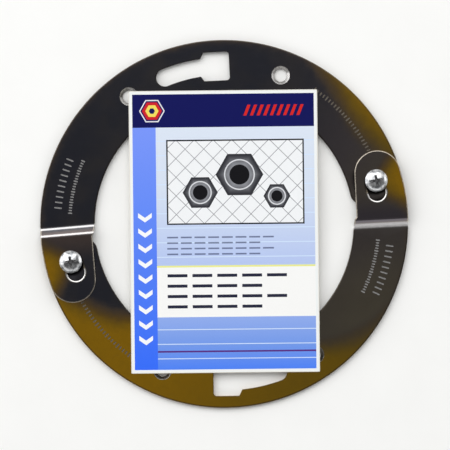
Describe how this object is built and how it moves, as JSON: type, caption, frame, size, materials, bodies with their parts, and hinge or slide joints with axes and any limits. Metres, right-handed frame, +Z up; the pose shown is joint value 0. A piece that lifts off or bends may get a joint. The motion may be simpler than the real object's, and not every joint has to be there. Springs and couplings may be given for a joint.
{
  "type": "toilet flange repair ring",
  "caption": "Flat two-piece steel ring with joggled slotted tabs, key slots and countersunk holes, screwed together round a drain, with a label card on top.",
  "frame": {"origin": "middle of the ring, on its flat underside", "axes": "+Z up through the drain opening, towards the screw heads and the card; +Y towards the upper half; +X towards the right screw"},
  "size_m": [0.1778, 0.1778, 0.0074],
  "materials": {
    "ring_dark": "polished plated steel that mirrors a dark room",
    "ring_gold": "polished plated steel with a yellow chromate sheen",
    "screw": "bright zinc",
    "card": "printed coated card with a white border",
    "pad": "soft adhesive foam"
  },
  "bodies": {
    "upper_half": {"upper_half_ring": "ring_dark"},
    "right_screw": {"right_screw": "screw"},
    "lower_half": {"lower_half_ring": "ring_gold"},
    "left_screw": {"left_screw": "screw"},
    "label_card": {"label_card": "card", "pad_upper_left": "pad", "pad_upper_right": "pad", "pad_lower_left": "pad", "pad_lower_right": "pad"}
  },
  "joints": [
    {"name": "opening_swing", "type": "hinge", "parent": "upper_half", "child": "right_screw", "pos_m": [0.07328, 0.02088, 0], "axis": [0, 0, 1], "range_deg": [0, 45]},
    {"name": "slot_adjustment", "type": "hinge", "parent": "right_screw", "child": "lower_half", "pos_m": [0, 0, 0], "axis": [0, 0, 1], "range_deg": [0, 3.9]},
    {"name": "left_screw_lift", "type": "slide", "parent": "lower_half", "child": "left_screw", "axis": [0, 0, 1], "range_m": [0, 0.08]},
    {"name": "card_lift", "type": "slide", "parent": "upper_half", "child": "label_card", "axis": [0, 0, 1], "range_m": [0, 0.04]}
  ],
  "couplings": [
    {"joint": "left_screw_lift", "follows": "opening_swing", "m_per_rad": 0.1}
  ]
}
